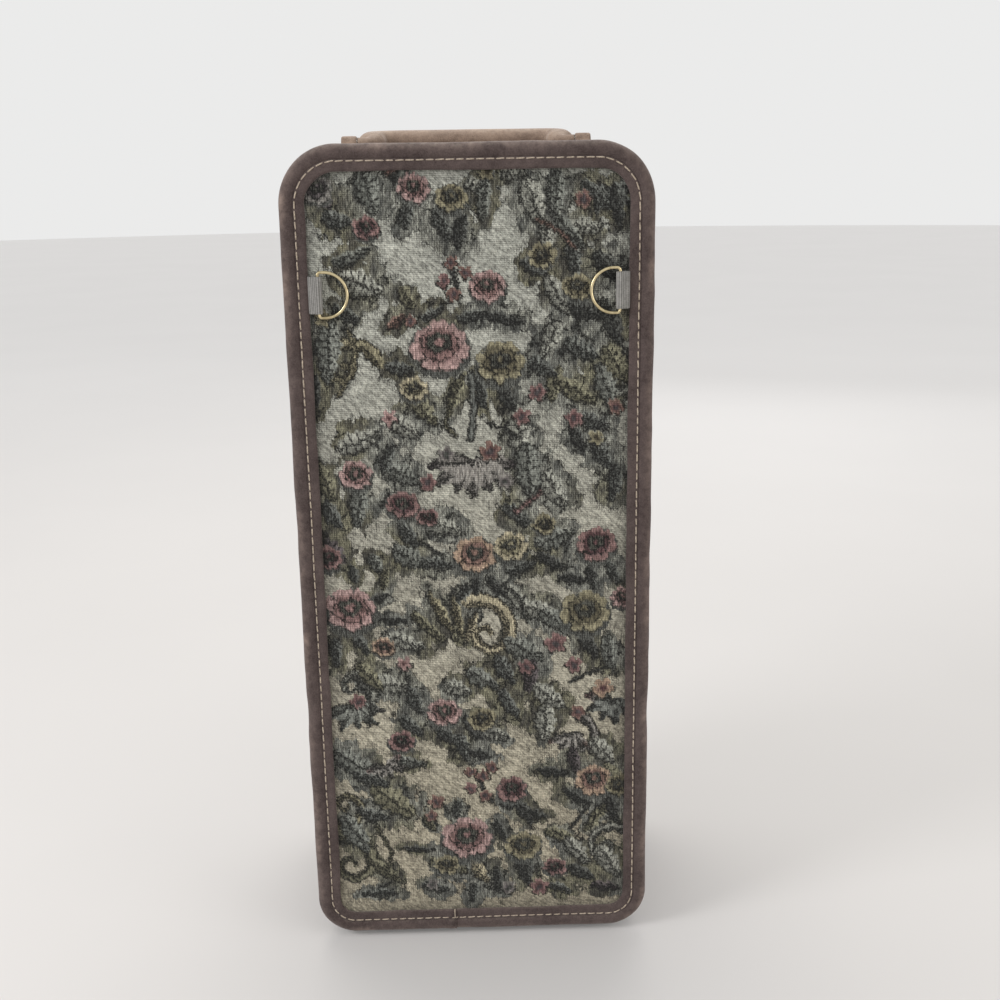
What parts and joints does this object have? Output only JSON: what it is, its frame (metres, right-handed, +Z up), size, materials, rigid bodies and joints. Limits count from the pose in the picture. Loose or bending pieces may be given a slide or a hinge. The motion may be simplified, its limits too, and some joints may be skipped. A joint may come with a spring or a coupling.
{
  "type": "suitcase",
  "caption": "Small upright soft suitcase with tapestry panels, rolled suede rims, a padded swing handle, a zipped lid and two D-rings for a strap.",
  "frame": {"origin": "centre of the case's footprint, on the surface its feet stand on", "axes": "+Z up; the panel with the D-rings faces -Y, the lid opens on the +Y side, and the hinge is on the -X side"},
  "size_m": [0.19, 0.1331, 0.4521],
  "materials": {
    "tapestry": "woven floral tapestry over foam",
    "suede": "napped suede",
    "board": "pressed fibreboard",
    "cord": "extruded piping cord",
    "lining": "plain woven lining",
    "zip_tape": "woven tape",
    "zip_coil": "moulded coil",
    "webbing": "fine ribbed webbing",
    "brass": "pale polished plating",
    "steel": "plain bar",
    "foot": "moulded"
  },
  "bodies": {
    "case": {"front_panel_cover": "tapestry", "front_panel_board": "board", "front_rim": "suede", "front_rim_cord": "cord", "case_wall": "suede", "case_band": "board", "case_lining": "lining", "case_zip_tape": "zip_tape", "case_zip_coil": "zip_coil", "hinge_strip": "suede", "ring_tab_left": "webbing", "ring_tab_right": "webbing", "handle_chape_left": "suede", "handle_chape_right": "suede", "handle_rivets": "brass", "handle_backing_plates": "steel", "foot_front_left": "foot", "foot_front_right": "foot", "foot_back_left": "foot", "foot_back_right": "foot", "foot_rivets": "brass"},
    "lid": {"back_panel_cover": "tapestry", "back_panel_board": "board", "back_rim": "suede", "back_rim_cord": "cord", "lid_wall": "suede", "lid_band": "board", "lid_lining": "lining", "lid_zip_tape": "zip_tape", "lid_zip_coil": "zip_coil"},
    "handle": {"handle_bar": "steel", "handle_grip": "suede"},
    "ring_left": {"ring_left": "brass"},
    "ring_right": {"ring_right": "brass"},
    "slider_left": {"slider_left": "brass"},
    "slider_right": {"slider_right": "brass"},
    "pull_left": {"pull_left": "brass"},
    "pull_right": {"pull_right": "brass"}
  },
  "joints": [
    {"name": "lid_hinge", "type": "hinge", "parent": "case", "child": "lid", "pos_m": [-0.09, 0.028, 0.2235], "axis": [0, 0, 1], "range_deg": [0, 120], "deforming": ["hinge_strip"]},
    {"name": "handle_swing", "type": "hinge", "parent": "case", "child": "handle", "pos_m": [0, -0.024, 0.4447], "axis": [1, 0, 0], "range_deg": [0, 165]},
    {"name": "ring_left_swing", "type": "hinge", "parent": "case", "child": "ring_left", "pos_m": [-0.0764, -0.0659, 0.3705], "axis": [0, 0, -1], "range_deg": [0, 150]},
    {"name": "ring_right_swing", "type": "hinge", "parent": "case", "child": "ring_right", "pos_m": [0.0764, -0.0659, 0.3705], "axis": [0, 0, 1], "range_deg": [0, 150]},
    {"name": "slider_left_slide", "type": "slide", "parent": "case", "child": "slider_left", "axis": [-1, 0, 0], "range_m": [0, 0.045]},
    {"name": "slider_right_slide", "type": "slide", "parent": "case", "child": "slider_right", "axis": [1, 0, 0], "range_m": [0, 0.045]},
    {"name": "pull_left_flip", "type": "hinge", "parent": "slider_left", "child": "pull_left", "pos_m": [-0.0075, 0.028, 0.44305], "axis": [0, 1, 0], "range_deg": [0, 100]},
    {"name": "pull_right_flip", "type": "hinge", "parent": "slider_right", "child": "pull_right", "pos_m": [0.0075, 0.028, 0.44305], "axis": [0, -1, 0], "range_deg": [0, 100]}
  ]
}
